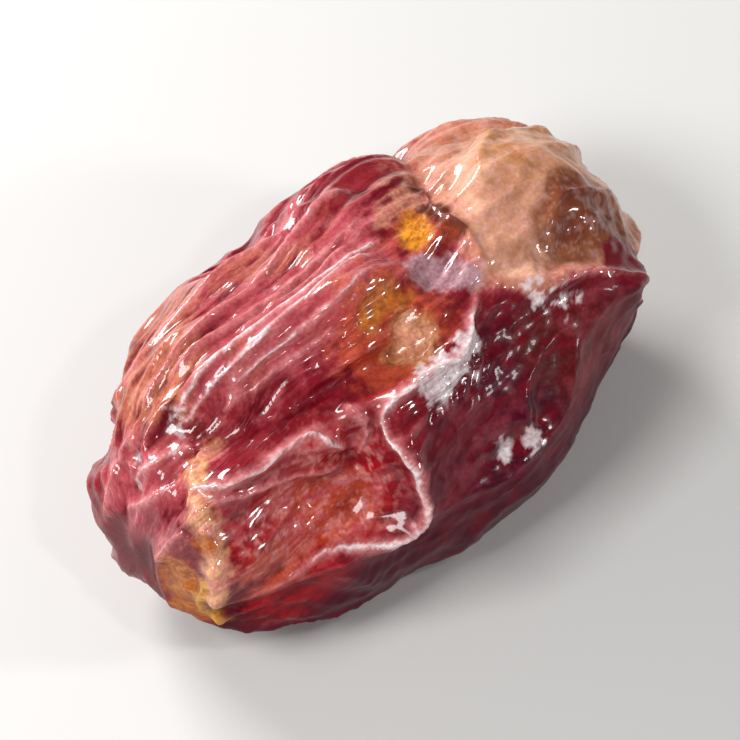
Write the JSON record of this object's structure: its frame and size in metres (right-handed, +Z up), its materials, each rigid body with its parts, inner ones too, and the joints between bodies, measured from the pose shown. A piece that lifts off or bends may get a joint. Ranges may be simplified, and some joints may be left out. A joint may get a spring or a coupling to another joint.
{
  "type": "dried sour cherry",
  "caption": "Whole pitted sour cherry, dried: a blunt, wrinkled fruit with a neck groove and a rounded knob at one end, a puckered tip at the other, and a flattened belly.",
  "frame": {"origin": "on the surface that the fruit lies on, under the middle of its bounding box", "axes": "+X along the fruit from the puckered tip to the knob, -Y towards its smooth front flank, +Z up from the belly's flat spot"},
  "size_m": [0.0166, 0.0102, 0.0083],
  "materials": {
    "cherry_skin": "glossy, wrinkled, slightly translucent crimson skin"
  },
  "bodies": {
    "root": {"dried_sour_cherry": "cherry_skin"}
  },
  "joints": []
}
